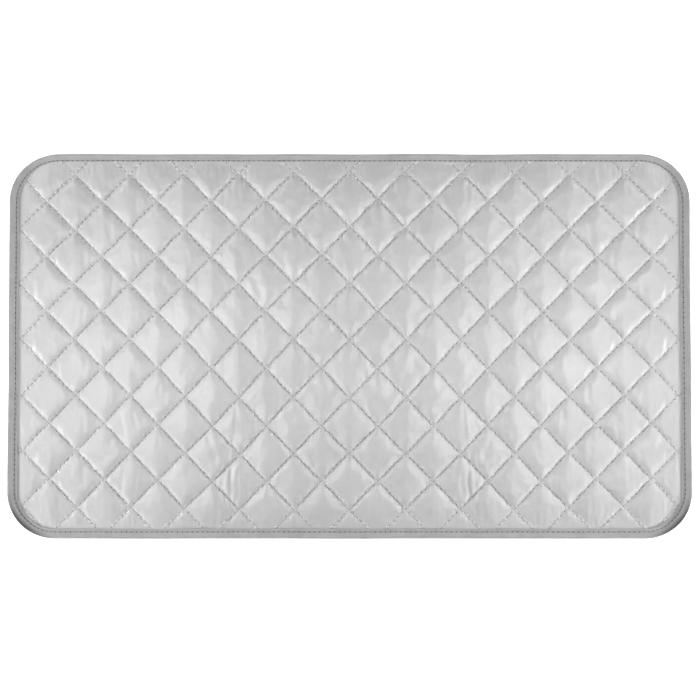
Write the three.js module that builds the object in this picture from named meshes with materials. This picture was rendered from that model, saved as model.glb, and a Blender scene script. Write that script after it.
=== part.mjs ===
// Quilted ironing pad: a silver face cloth, wadding and a backing cloth, sewn together in a
// net of diamonds and bound round the edge with a folded tape.
// Millimetres, +Z up. The origin is under the middle of the pad, on the table that it lies on.
// +X runs along the pad and +Y across it, towards the far edge.
import * as THREE from "three";

// The pad, measured over its binding.
const PAD_LENGTH = 850;
const PAD_WIDTH = 480;
const CORNER_RADIUS = 60;

// The quilting: two sets of parallel seams that cross at right angles.
const SEAM_SPACING = 48.7;
// The middle crossing lies this far from the middle of the pad, towards the far edge.
const SEAM_SHIFT = 7.5;
// Towards the far and the near edge the seams bow outwards, most of all at mid-length.
const FAR_BOW = 4.5;
const FAR_BOW_REACH = 130;
const NEAR_BOW = 4.5;
const NEAR_BOW_REACH = 310;
// The share by which they close up along the pad at the near edge, and by which they stand
// further apart at mid-length.
const NEAR_CLOSING = 0.0145;
const MIDDLE_SPREAD = 0.03;
const MIDDLE_SPREAD_REACH = 140;

// The layers. The wadding is pressed thin by every seam and swells between them.
const FACE_THICKNESS = 0.5;
const WADDING_PRESSED = 0.8;
const BACKING_THICKNESS = 0.5;
// How far a diamond's crown stands over its seams, and the length of the crown's soft ridge
// as a share of the diamond.
const FACE_PUFF = 4.5;
const CROWN_RIDGE = 0.26;

// The tape round the edge, the width of each of its two legs, and its row of stitches.
const BINDING_WIDTH = 12;
const BINDING_THICKNESS = 0.6;
const BINDING_SEAM_INSET = 3.5;

// Sewing threads.
const QUILT_THREAD = 0.5;
const BINDING_THREAD = 0.5;
// Half the length over which a falling thread climbs over a rising one.
const THREAD_HOP = 4;

// Air between pieces that touch on the real pad.
const CLEARANCE = 0.3;

// Flat facets in a corner of the pad, in the fold of the tape and round a thread.
const CORNER_STEPS = 8;
const FOLD_STEPS = 6;
const THREAD_SIDES = 4;

// Heights of the pressed stack, from the table up.
const BACKING_Z = BINDING_THICKNESS + CLEARANCE;
const WADDING_Z = BACKING_Z + BACKING_THICKNESS + CLEARANCE;
const FACE_Z = WADDING_Z + WADDING_PRESSED + CLEARANCE;
const FACE_TOP_Z = FACE_Z + FACE_THICKNESS;
const BINDING_TOP_Z = FACE_TOP_Z + CLEARANCE + BINDING_THICKNESS;

// The layers are cut where the fold of the tape starts, and swell from the tape's inner edge.
const FOLD_RADIUS = BINDING_TOP_Z / 2;
const CUT_INSET = FOLD_RADIUS + CLEARANCE;
const QUILT_INSET = BINDING_WIDTH + CLEARANCE;

const HALF_DIAGONAL = SEAM_SPACING / Math.SQRT2;

// Points round the pad, counter-clockwise, at a distance inside its outer edge. Each carries
// the direction that points out of the pad.
function outline(inset) {
  const radius = CORNER_RADIUS - inset;
  const halfX = PAD_LENGTH / 2 - CORNER_RADIUS;
  const halfY = PAD_WIDTH / 2 - CORNER_RADIUS;
  const centres = [[halfX, -halfY], [halfX, halfY], [-halfX, halfY], [-halfX, -halfY]];
  return centres.flatMap(([centreX, centreY], quarter) => {
    const corner = [];
    for (let step = 0; step <= CORNER_STEPS; step += 1) {
      const angle = (quarter - 1 + step / CORNER_STEPS) * (Math.PI / 2);
      const sideX = Math.cos(angle);
      const sideY = Math.sin(angle);
      corner.push({ x: centreX + radius * sideX, y: centreY + radius * sideY, sideX, sideY });
    }
    return corner;
  });
}

// How far a point lies inside the edge from one outline point to the next.
function depthInside(point, from, to) {
  const alongX = to.x - from.x;
  const alongY = to.y - from.y;
  const cross = alongX * (point.y - from.y) - alongY * (point.x - from.x);
  return cross / Math.hypot(alongX, alongY);
}

function between(from, to, share) {
  return {
    x: from.x + (to.x - from.x) * share,
    y: from.y + (to.y - from.y) * share,
    z: (from.z ?? 0) + ((to.z ?? 0) - (from.z ?? 0)) * share,
  };
}

// Where a rising and a falling seam cross. Seams are counted outwards from the middle.
function crossing(rising, falling) {
  const x = (falling - rising) * HALF_DIAGONAL;
  const y = SEAM_SHIFT + (falling + rising) * HALF_DIAGONAL;
  const across = y / (PAD_WIDTH / 2);
  const farBow = FAR_BOW * THREE.MathUtils.clamp(across, 0, 1)
    * Math.exp(-((x / FAR_BOW_REACH) ** 2));
  const nearBow = NEAR_BOW * THREE.MathUtils.smoothstep(-across, -0.17, 0.46)
    * Math.exp(-((x / NEAR_BOW_REACH) ** 4));
  const spread = MIDDLE_SPREAD * Math.exp(-((x / MIDDLE_SPREAD_REACH) ** 2));
  const closing = NEAR_CLOSING * THREE.MathUtils.smoothstep(-across, -0.5, 0.7);
  return { x: x * (1 + spread - closing), y: y + farBow - nearBow, z: 0 };
}

// Seam numbers that are sure to cover the pad.
function seamNumbers() {
  const reach = Math.ceil((PAD_LENGTH + PAD_WIDTH) / (4 * HALF_DIAGONAL)) + 1;
  return Array.from({ length: 2 * reach + 1 }, (_, number) => number - reach);
}

// The part of a diamond that lies inside an outline.
function clipPolygon(polygon, edge) {
  return edge.reduce((points, from, corner) => {
    const to = edge[(corner + 1) % edge.length];
    return points.flatMap((point, number) => {
      const next = points[(number + 1) % points.length];
      const here = depthInside(point, from, to);
      const there = depthInside(next, from, to);
      const kept = here >= 0 ? [point] : [];
      if (here >= 0 !== there >= 0) {
        kept.push(between(point, next, here / (here - there)));
      }
      return kept;
    });
  }, polygon);
}

// The part of a seam's path that lies inside an outline.
function clipPath(path, edge) {
  const kept = [];
  for (let number = 0; number + 1 < path.length; number += 1) {
    let start = 0;
    let end = 1;
    edge.forEach((from, corner) => {
      const to = edge[(corner + 1) % edge.length];
      const here = depthInside(path[number], from, to);
      const there = depthInside(path[number + 1], from, to);
      if (here < 0 && there < 0) {
        end = 0;
      } else if (here < 0) {
        start = Math.max(start, here / (here - there));
      } else if (there < 0) {
        end = Math.min(end, here / (here - there));
      }
    });
    if (start < end) {
      if (kept.length === 0) {
        kept.push(between(path[number], path[number + 1], start));
      }
      kept.push(between(path[number], path[number + 1], end));
    }
  }
  return kept;
}

function solidFrom(positions, triangles) {
  const geometry = new THREE.BufferGeometry();
  geometry.setAttribute("position", new THREE.Float32BufferAttribute(positions.flat(), 3));
  geometry.setIndex(triangles.flat());
  geometry.computeVertexNormals();
  return geometry;
}

// The quilted plan that all layers share: points with their lift, from 0 on a seam to 1 on the
// crown of a whole diamond, the triangles between them, and the loop of the cut edge.
function quiltPlan() {
  const quiltEdge = outline(QUILT_INSET);
  const points = [];
  const triangles = [];
  const known = new Map();
  const sides = new Map();

  const pointAt = ({ x, y }, lift = 0) => {
    const key = `${Math.round(x * 1e4)},${Math.round(y * 1e4)}`;
    if (!known.has(key)) {
      known.set(key, points.length);
      points.push({ x, y, lift });
    }
    return known.get(key);
  };

  const numbers = seamNumbers();
  numbers.forEach((rising) => {
    numbers.forEach((falling) => {
      const diamond = [
        crossing(rising, falling),
        crossing(rising, falling + 1),
        crossing(rising + 1, falling + 1),
        crossing(rising + 1, falling),
      ];
      const inside = clipPolygon(diamond, quiltEdge);
      const corners = [...new Set(inside.map((point) => pointAt(point)))];
      if (corners.length < 3) {
        return;
      }
      corners.forEach((corner, number) => {
        const next = corners[(number + 1) % corners.length];
        sides.set(`${corner},${next}`, [corner, next]);
      });
      if (inside.every((point, number) => point === diamond[number])) {
        const [near, right, far, left] = corners;
        const low = pointAt(between(diamond[0], diamond[2], (1 - CROWN_RIDGE) / 2), 1);
        const high = pointAt(between(diamond[0], diamond[2], (1 + CROWN_RIDGE) / 2), 1);
        triangles.push([near, right, low], [right, high, low], [right, far, high]);
        triangles.push([far, left, high], [left, low, high], [left, near, low]);
        return;
      }
      // A diamond that the tape cuts off swells less, by how narrow it is.
      const middle = {
        x: inside.reduce((sum, point) => sum + point.x, 0) / inside.length,
        y: inside.reduce((sum, point) => sum + point.y, 0) / inside.length,
      };
      const narrowest = Math.min(...inside.map((point, number) => (
        depthInside(middle, point, inside[(number + 1) % inside.length])
      )).filter(Number.isFinite));
      const crown = pointAt(middle, Math.min(1, (2 * narrowest) / SEAM_SPACING));
      corners.forEach((corner, number) => {
        triangles.push([corner, corners[(number + 1) % corners.length], crown]);
      });
    });
  });

  // The loop of sides that only one diamond has is where the tape's inner edge lies.
  const following = new Map();
  sides.forEach(([from, to]) => {
    if (!sides.has(`${to},${from}`)) {
      following.set(from, to);
    }
  });
  const quiltLoop = [following.keys().next().value];
  while (following.get(quiltLoop.at(-1)) !== quiltLoop[0]) {
    quiltLoop.push(following.get(quiltLoop.at(-1)));
  }

  // Under the tape the layers lie flat, out to the cut edge.
  const cutLoop = outline(CUT_INSET).map((point) => pointAt(point));
  const flat = [...cutLoop, ...quiltLoop];
  const vectorOf = (number) => new THREE.Vector2(points[number].x, points[number].y);
  const rim = THREE.ShapeUtils.triangulateShape(cutLoop.map(vectorOf), [quiltLoop.map(vectorOf)]);
  rim.forEach((corners) => {
    const [a, b, c] = corners.map((corner) => flat[corner]);
    const turnsLeft = depthInside(points[c], points[a], points[b]) > 0;
    triangles.push(turnsLeft ? [a, b, c] : [a, c, b]);
  });
  return { points, triangles, cutLoop };
}

// One layer of the pad. The heights are those of the pressed layer's two sides, and the rises
// are how far each side moves from there to a full crown.
function quiltedLayer(plan, bottomZ, topZ, bottomRise, topRise) {
  const count = plan.points.length;
  const top = plan.points.map(({ x, y, lift }) => [x, y, topZ + lift * topRise]);
  const bottom = plan.points.map(({ x, y, lift }) => [x, y, bottomZ + lift * bottomRise]);
  const triangles = plan.triangles.flatMap(([a, b, c]) => [
    [a, b, c],
    [count + a, count + c, count + b],
  ]);
  plan.cutLoop.forEach((from, number) => {
    const to = plan.cutLoop[(number + 1) % plan.cutLoop.length];
    triangles.push([from, count + from, to], [to, count + from, count + to]);
  });
  return solidFrom([...top, ...bottom], triangles);
}

// A solid with one section all along its path. The section is a list of [side, up] points,
// counter-clockwise with the path's right-hand side to the right.
function sweep(section, path, closed) {
  const size = section.length;
  const positions = path.flatMap(({ x, y, z = 0, sideX, sideY }) => (
    section.map(([side, up]) => [x + side * sideX, y + side * sideY, z + up])
  ));
  const triangles = [];
  const spans = closed ? path.length : path.length - 1;
  for (let span = 0; span < spans; span += 1) {
    const here = span * size;
    const next = ((span + 1) % path.length) * size;
    for (let corner = 0; corner < size; corner += 1) {
      const other = (corner + 1) % size;
      triangles.push([here + corner, next + corner, next + other]);
      triangles.push([here + corner, next + other, here + other]);
    }
  }
  if (!closed) {
    const end = (path.length - 1) * size;
    for (let corner = 1; corner + 1 < size; corner += 1) {
      triangles.push([0, corner, corner + 1]);
      triangles.push([end, end + corner + 1, end + corner]);
    }
  }
  return solidFrom(positions, triangles);
}

function roundSection(diameter) {
  return Array.from({ length: THREAD_SIDES }, (_, corner) => {
    const angle = (corner / THREAD_SIDES) * 2 * Math.PI;
    return [(diameter / 2) * Math.cos(angle), (diameter / 2) * Math.sin(angle)];
  });
}

// The tape folded round the edge: a lower leg on the table, the fold, and an upper leg.
function bindingSection() {
  const fold = (radius, from, to) => Array.from({ length: FOLD_STEPS + 1 }, (_, step) => {
    const angle = (from + ((to - from) * step) / FOLD_STEPS) * (Math.PI / 2);
    return [radius * Math.cos(angle) - FOLD_RADIUS, FOLD_RADIUS + radius * Math.sin(angle)];
  });
  return [
    [-BINDING_WIDTH, 0],
    ...fold(FOLD_RADIUS, -1, 1),
    [-BINDING_WIDTH, BINDING_TOP_Z],
    [-BINDING_WIDTH, BINDING_TOP_Z - BINDING_THICKNESS],
    ...fold(FOLD_RADIUS - BINDING_THICKNESS, 1, -1),
    [-BINDING_WIDTH, BINDING_THICKNESS],
  ];
}

// The path of a rising seam's thread lies level along its groove.
function risingPath(rising) {
  const z = FACE_TOP_Z + CLEARANCE + QUILT_THREAD / 2;
  return seamNumbers().map((falling) => ({ ...crossing(rising, falling), z }));
}

// The path of a falling seam's thread climbs over every rising thread that it meets.
function fallingPath(falling) {
  const z = FACE_TOP_Z + CLEARANCE + QUILT_THREAD / 2;
  const climb = ((QUILT_THREAD + CLEARANCE) * THREAD_HOP) / (THREAD_HOP - QUILT_THREAD);
  const foot = THREAD_HOP / SEAM_SPACING;
  return seamNumbers().flatMap((rising) => {
    const here = crossing(rising, falling);
    const before = between(here, crossing(rising - 1, falling), foot);
    const after = between(here, crossing(rising + 1, falling), foot);
    return [{ ...before, z }, { ...here, z: z + climb }, { ...after, z }];
  });
}

// A thread that is sewn from one inner edge of the tape to the other. It is null for a seam that
// only clips a corner of the pad.
function quiltThread(wholePath) {
  const path = clipPath(wholePath, outline(QUILT_INSET));
  if (path.length < 2) {
    return null;
  }
  const first = path[0];
  const last = path.at(-1);
  const length = Math.hypot(last.x - first.x, last.y - first.y);
  if (length < SEAM_SPACING / 2) {
    return null;
  }
  const right = { sideX: (last.y - first.y) / length, sideY: (first.x - last.x) / length };
  return sweep(roundSection(QUILT_THREAD), path.map((point) => ({ ...point, ...right })), false);
}

function part(name, geometry, colour, roughness, metalness = 0) {
  const material = new THREE.MeshStandardMaterial({ color: colour, roughness, metalness });
  const mesh = new THREE.Mesh(geometry, material);
  mesh.name = name;
  return mesh;
}

function ironingPad() {
  const pad = new THREE.Group();
  pad.name = "ironing_pad";

  const plan = quiltPlan();
  const backing = quiltedLayer(
    plan, BACKING_Z, BACKING_Z + BACKING_THICKNESS, -BACKING_Z, -BACKING_Z,
  );
  const wadding = quiltedLayer(
    plan, WADDING_Z, WADDING_Z + WADDING_PRESSED, -BACKING_Z, FACE_PUFF,
  );
  const face = quiltedLayer(plan, FACE_Z, FACE_TOP_Z, FACE_PUFF, FACE_PUFF);
  pad.add(part("face_cloth", face, 0xcfd0d1, 0.45, 0.3));
  pad.add(part("wadding", wadding, 0xf2f1ee, 0.95));
  pad.add(part("backing_cloth", backing, 0xc4c4c2, 0.9));

  pad.add(part("edge_binding", sweep(bindingSection(), outline(0), true), 0xa6a7a9, 0.8));
  const bindingSeam = outline(BINDING_WIDTH - BINDING_SEAM_INSET).map((point) => ({
    ...point,
    z: BINDING_TOP_Z + CLEARANCE + BINDING_THREAD / 2,
  }));
  const bindingThread = sweep(roundSection(BINDING_THREAD), bindingSeam, true);
  pad.add(part("binding_thread", bindingThread, 0x8e8f91, 0.7));

  // The seams are numbered from the left, as the pad is seen with its far edge at the top.
  const threads = {
    rising: seamNumbers().reverse().map(risingPath),
    falling: seamNumbers().map(fallingPath),
  };
  Object.entries(threads).forEach(([slope, paths]) => {
    const sewn = paths.map(quiltThread).filter((geometry) => geometry !== null);
    sewn.forEach((geometry, number) => {
      const name = `quilt_thread_${slope}_${String(number + 1).padStart(2, "0")}`;
      pad.add(part(name, geometry, 0x96979a, 0.7));
    });
  });
  return pad;
}

export default ironingPad();
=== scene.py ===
"""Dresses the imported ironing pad: quilted cloths, binding tape, stitches, studio and camera.

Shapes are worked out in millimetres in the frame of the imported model, and put into meshes in
metres.
"""

import logging
import math
from dataclasses import dataclass, field
from enum import Enum

import bpy
import numpy as np
from bpy.types import Material, Node, NodeSocket, NodeTree, Object
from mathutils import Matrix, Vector


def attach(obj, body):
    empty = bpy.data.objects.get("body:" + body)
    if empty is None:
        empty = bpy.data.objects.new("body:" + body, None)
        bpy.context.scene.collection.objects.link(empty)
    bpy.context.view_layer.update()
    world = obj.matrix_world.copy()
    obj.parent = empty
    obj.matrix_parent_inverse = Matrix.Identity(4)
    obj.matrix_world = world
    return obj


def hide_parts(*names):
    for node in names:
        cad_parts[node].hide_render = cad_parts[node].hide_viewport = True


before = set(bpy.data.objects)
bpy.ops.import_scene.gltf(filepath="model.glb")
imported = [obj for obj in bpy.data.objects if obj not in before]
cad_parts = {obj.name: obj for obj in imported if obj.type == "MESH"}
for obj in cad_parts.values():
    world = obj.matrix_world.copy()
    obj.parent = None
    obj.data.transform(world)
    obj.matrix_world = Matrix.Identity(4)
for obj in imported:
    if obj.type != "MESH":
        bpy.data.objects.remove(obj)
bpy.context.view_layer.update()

LOG = logging.getLogger("ironing_pad")
MM = 0.001
BODY = "root"
SHADER = "Principled BSDF"
# The share of a needle hole's radius that is fully darkened by painted shade.
HOLE_CORE = 0.35
# One band of Blender's wave texture is this long at a scale of 1.
WAVE_BAND = 0.314


class Slope(Enum):
    """Which way a set of quilting seams runs, seen with the far edge of the pad at the top."""

    RISING = "rising"
    FALLING = "falling"


class Side(Enum):
    """The side of the pad that a row of stitches shows on, as the direction it faces."""

    FACE = 1
    BACK = -1


def linear(hex_code: str) -> tuple[float, float, float, float]:
    """Turns an sRGB hex colour into linear red, green, blue and an alpha of 1.

    Args:
        hex_code: six hex digits, such as "C8C8C8".

    Returns:
        The four linear values.
    """
    levels = [int(hex_code[k:k + 2], 16) / 255 for k in (0, 2, 4)]
    lit = [v / 12.92 if v <= 0.04045 else ((v + 0.055) / 1.055) ** 2.4 for v in levels]
    return (*lit, 1.0)


def add_node(tree: NodeTree, kind: str, settings: dict | None = None,
             inputs: dict | None = None) -> Node:
    """Adds a node with its settings and links.

    Args:
        tree: the material's node tree.
        kind: the node's type name.
        settings: values for the node's own attributes.
        inputs: for each socket's name or number, a value or the output that feeds it.

    Returns:
        The new node.
    """
    node = tree.nodes.new(kind)
    for name, value in (settings or {}).items():
        setattr(node, name, value)
    for socket, value in (inputs or {}).items():
        if isinstance(value, NodeSocket):
            tree.links.new(value, node.inputs[socket])
        else:
            node.inputs[socket].default_value = value
    return node


def new_material(name: str, constants: dict) -> Material:
    """Starts a node material.

    Args:
        name: the material's name.
        constants: values for the shader's own sockets.

    Returns:
        The material.
    """
    material = bpy.data.materials.new(name)
    material.use_nodes = True
    for socket, value in constants.items():
        material.node_tree.nodes[SHADER].inputs[socket].default_value = value
    return material


def finish_surface(tree: NodeTree, colour: NodeSocket,
                   height: NodeSocket, strength: float, depth: float) -> None:
    """Links a colour and a bump to the material's shader.

    Args:
        tree: the material's node tree.
        colour: the output that gives the colour.
        height: the output that gives the bump's height.
        strength: how much of the bump shows.
        depth: millimetres for a height of 1.
    """
    shader = tree.nodes[SHADER]
    bump = add_node(tree, "ShaderNodeBump", None, {
        "Height": height, "Strength": strength, "Distance": depth * MM})
    tree.links.new(colour, shader.inputs["Base Color"])
    tree.links.new(bump.outputs["Normal"], shader.inputs["Normal"])


def crossing_bands(tree: NodeTree, cloth: NodeSocket,
                   pitches: tuple[float, float], bends: tuple[float, float],
                   detail_scale: float) -> list[NodeSocket]:
    """Two sets of sine bands at right angles, as the threads of a weave lie.

    Args:
        tree: the material's node tree.
        cloth: the surface map, in millimetres.
        pitches: millimetres from band to band, along and across.
        bends: how far the bands stray, along and across.
        detail_scale: the scale of their straying.

    Returns:
        An output for each set, from 0 to 1.
    """
    return [add_node(tree, "ShaderNodeTexWave", {"bands_direction": way, "wave_profile": "SIN"}, {
        "Vector": cloth, "Scale": WAVE_BAND / pitch, "Distortion": bend, "Detail": 1.0,
        "Detail Scale": detail_scale}).outputs["Fac"]
        for way, pitch, bend in zip("XY", pitches, bends)]


def off_whole(tree: NodeTree, value: NodeSocket, count: float,
              size: float) -> NodeSocket:
    """How far a coordinate is from the nearest whole multiple of 1/count.

    Args:
        tree: the material's node tree.
        value: the coordinate.
        count: marks in one unit of the coordinate.
        size: millimetres from one mark to the next.

    Returns:
        The distance, in millimetres.
    """
    scaled = add_node(tree, "ShaderNodeMath", {"operation": "MULTIPLY"}, {0: value, 1: count})
    near = add_node(tree, "ShaderNodeMath", {"operation": "PINGPONG"},
                    {0: scaled.outputs[0], 1: 0.5})
    return add_node(tree, "ShaderNodeMath", {"operation": "MULTIPLY"},
                    {0: near.outputs[0], 1: size}).outputs[0]


def round_spot(tree: NodeTree, across: NodeSocket,
               along: NodeSocket, radius: float) -> NodeSocket:
    """A round spot: the hypot of two distances, faded out at the radius.

    Args:
        tree: the material's node tree.
        across: the distance one way, in millimetres.
        along: the distance the other way, in millimetres.
        radius: the spot's outer radius, in millimetres.

    Returns:
        An output that is 1 in the spot and 0 away from it.
    """
    both = add_node(tree, "ShaderNodeCombineXYZ", None, {"X": across, "Y": along})
    length = add_node(tree, "ShaderNodeVectorMath", {"operation": "LENGTH"}, {0: both.outputs[0]})
    return add_node(tree, "ShaderNodeMapRange", {"interpolation_type": "SMOOTHSTEP"}, {
        "Value": length.outputs["Value"], "From Min": radius,
        "From Max": radius * HOLE_CORE}).outputs[0]


def make_piece(name: str, points: np.ndarray, faces: np.ndarray,
               uvs: dict[str, np.ndarray] | None = None) -> Object:
    """Puts a worked-out surface into a smooth mesh object at the origin.

    Args:
        name: the piece's name.
        points: n by 3 places, in millimetres.
        faces: m by 4 point numbers, counter-clockwise seen from outside.
        uvs: named n by 2 surface coordinates.

    Returns:
        The new object, linked to the scene.
    """
    mesh = bpy.data.meshes.new(name)
    mesh.vertices.add(len(points))
    mesh.vertices.foreach_set("co", (points * MM).astype(np.float32).ravel())
    corners = faces.astype(np.int32).ravel()
    mesh.loops.add(len(corners))
    mesh.loops.foreach_set("vertex_index", corners)
    mesh.polygons.add(len(faces))
    mesh.polygons.foreach_set("loop_start", np.arange(0, len(corners), 4, dtype=np.int32))
    mesh.polygons.foreach_set("use_smooth", np.ones(len(faces), dtype=bool))
    for layer, uv in (uvs or {}).items():
        mesh.uv_layers.new(name=layer).data.foreach_set(
            "uv", uv[corners].astype(np.float32).ravel())
    mesh.update(calc_edges=True)
    piece = bpy.data.objects.new(name, mesh)
    bpy.context.scene.collection.objects.link(piece)
    return piece


def smoothstep(low: float, high: float, value: np.ndarray) -> np.ndarray:
    """Rises from 0 at low to 1 at high, with level ends: t squared times (3 - 2t)."""
    t = np.clip((value - low) / (high - low), 0.0, 1.0)
    return t * t * (3.0 - 2.0 * t)


def waves(x: np.ndarray, y: np.ndarray, length: float, seed: int) -> np.ndarray:
    """A smooth uneven field between about -1 and 1: twice the mean of nine sine waves whose
    directions, lengths near the one asked for and phases come from a fixed seed.

    Args:
        x: places along the pad, in millimetres.
        y: places across the pad, in millimetres.
        length: the usual length of a wave, in millimetres.
        seed: chooses one field.

    Returns:
        The field at each place.
    """
    draw = np.random.default_rng(seed)
    count = 9
    turn, phase = draw.uniform(0, 2 * np.pi, (2, count))
    number = 2 * np.pi / (length * draw.uniform(0.7, 1.6, count))
    shape = (count,) + (1,) * np.ndim(x)
    turn, phase, number = (v.reshape(shape) for v in (turn, phase, number))
    field_at = np.sin(number * (np.cos(turn) * x + np.sin(turn) * y) + phase)
    return field_at.sum(axis=0) / (count / 2)


@dataclass(frozen=True)
class Unevenness:
    """A field of waves: its size, the usual length of a wave in millimetres, and its seed."""

    size: float
    length: float
    seed: int

    def at(self, x: np.ndarray, y: np.ndarray) -> np.ndarray:
        """The field at each place."""
        return self.size * waves(x, y, self.length, self.seed)


@dataclass(frozen=True)
class PadPlan:
    """Outline and seam net of the pad, seen from above, and the heights of the seams on both
    sides. Sizes are in millimetres, and zones across the pad are shares of half its width."""

    length: float = 850.0
    width: float = 480.0
    corner_radius: float = 60.0
    seam_spacing: float = 48.7
    seam_shift: float = 7.5
    far_bow: float = 4.5
    far_bow_reach: float = 130.0
    near_bow: float = 4.5
    near_bow_reach: float = 310.0
    near_bow_zone: tuple[float, float] = (-0.17, 0.46)
    near_closing: float = 0.0145
    near_closing_zone: tuple[float, float] = (-0.5, 0.7)
    middle_spread: float = 0.03
    middle_spread_reach: float = 140.0
    along_drifts: tuple[Unevenness, ...] = (Unevenness(0.8, 150.0, 3), Unevenness(0.25, 18.0, 5))
    across_drifts: tuple[Unevenness, ...] = (Unevenness(0.8, 150.0, 4), Unevenness(0.25, 18.0, 6))
    cut_inset: float = 3.0
    tape_width: float = 12.5
    far_tape_width: float = 9.6
    far_turn: tuple[float, float] = (0.2, 0.95)
    seams_each_way: int = 10
    stitches_per_diamond: int = 7
    face_seam_z: float = 3.3
    back_seam_z: float = 0.85

    def place(self, rising: np.ndarray, falling: np.ndarray) -> tuple[np.ndarray, np.ndarray]:
        """Where a pair of seam coordinates lies. Whole numbers are seams, x grows with falling
        minus rising and y with their sum. Towards the far and the near edge the seams bow
        outwards at mid-length. They stand further apart at mid-length and close up along the
        pad towards the near edge, and slow and fine waves make them wander a little.

        Args:
            rising: coordinates across the rising seams.
            falling: coordinates across the falling seams.

        Returns:
            Places along and across the pad.
        """
        half = self.seam_spacing / math.sqrt(2)
        x = (falling - rising) * half
        y = self.seam_shift + (falling + rising) * half
        across = y / (self.width / 2)
        bow = self.far_bow * np.clip(across, 0.0, 1.0) * np.exp(-(x / self.far_bow_reach) ** 2)
        bow = bow - self.near_bow * smoothstep(*self.near_bow_zone, -across) \
            * np.exp(-(x / self.near_bow_reach) ** 4)
        spread = self.middle_spread * np.exp(-(x / self.middle_spread_reach) ** 2)
        x = x * (1 + spread - self.near_closing * smoothstep(*self.near_closing_zone, -across))
        along_drift, across_drift = (
            sum(drift.at(x, y) for drift in drifts)
            for drifts in (self.along_drifts, self.across_drifts))
        return x + along_drift, y + bow + across_drift

    def outward(self, x: np.ndarray, y: np.ndarray) -> tuple[np.ndarray, ...]:
        """How deep places lie inside the outer edge, and the way out: the distance to a
        rounded rectangle, measured from its inner rectangle of corner centres.

        Args:
            x: places along the pad.
            y: places across the pad.

        Returns:
            Depth, and the two parts of the direction out of the pad.
        """
        over_x = np.abs(x) - (self.length / 2 - self.corner_radius)
        over_y = np.abs(y) - (self.width / 2 - self.corner_radius)
        past_x, past_y = np.maximum(over_x, 0.0), np.maximum(over_y, 0.0)
        past = np.hypot(past_x, past_y)
        inner = np.minimum(np.maximum(over_x, over_y), 0.0)
        depth = self.corner_radius - past - inner
        beyond = past > 1e-9
        safe = np.where(beyond, past, 1.0)
        out_x = np.where(beyond, past_x / safe, over_x >= over_y) * np.sign(x)
        out_y = np.where(beyond, past_y / safe, over_x < over_y) * np.sign(y)
        return depth, out_x, out_y

    def tape_reach(self, out_y: np.ndarray) -> np.ndarray:
        """The width of the tape's face leg where the edge faces out_y: it is narrower along
        the far edge, where the tape was folded further to the back."""
        far = smoothstep(*self.far_turn, out_y)
        return self.tape_width + (self.far_tape_width - self.tape_width) * far

    def edge(self, count: int) -> dict[str, np.ndarray]:
        """Places evenly spaced round the outer edge, counter-clockwise from the left end of
        the near side: four straights, each followed by a quarter circle.

        Args:
            count: how many places.

        Returns:
            x, y, the direction out (out_x, out_y) and the way gone along the edge.
        """
        straight_x = self.length - 2 * self.corner_radius
        straight_y = self.width - 2 * self.corner_radius
        quarter = self.corner_radius * math.pi / 2
        runs = np.array([straight_x, quarter, straight_y, quarter] * 2)
        ends = np.cumsum(runs)
        along = np.linspace(0.0, ends[-1], count, endpoint=False)
        run = np.searchsorted(ends, along, side="right")
        gone = along - (ends - runs)[run]
        side = run // 2
        on_arc = run % 2 == 1
        turn = (side - 1) * math.pi / 2 + np.where(on_arc, gone / self.corner_radius, 0.0)
        out_x, out_y = np.cos(turn), np.sin(turn)
        centre_x = np.array([1, 1, -1, -1]) * straight_x / 2
        centre_y = np.array([-1, 1, 1, -1]) * straight_y / 2
        corner = np.where(on_arc, side, side - 1)
        walked = np.where(on_arc, 0.0, gone)
        x = centre_x[corner] + out_x * self.corner_radius - out_y * walked
        y = centre_y[corner] + out_y * self.corner_radius + out_x * walked
        return {"x": x, "y": y, "out_x": out_x, "out_y": out_y, "along": along}

    def edge_length(self) -> float:
        """The way once round the outer edge, in millimetres."""
        straights = 2 * (self.length + self.width) - 8 * self.corner_radius
        return straights + 2 * math.pi * self.corner_radius


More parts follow.
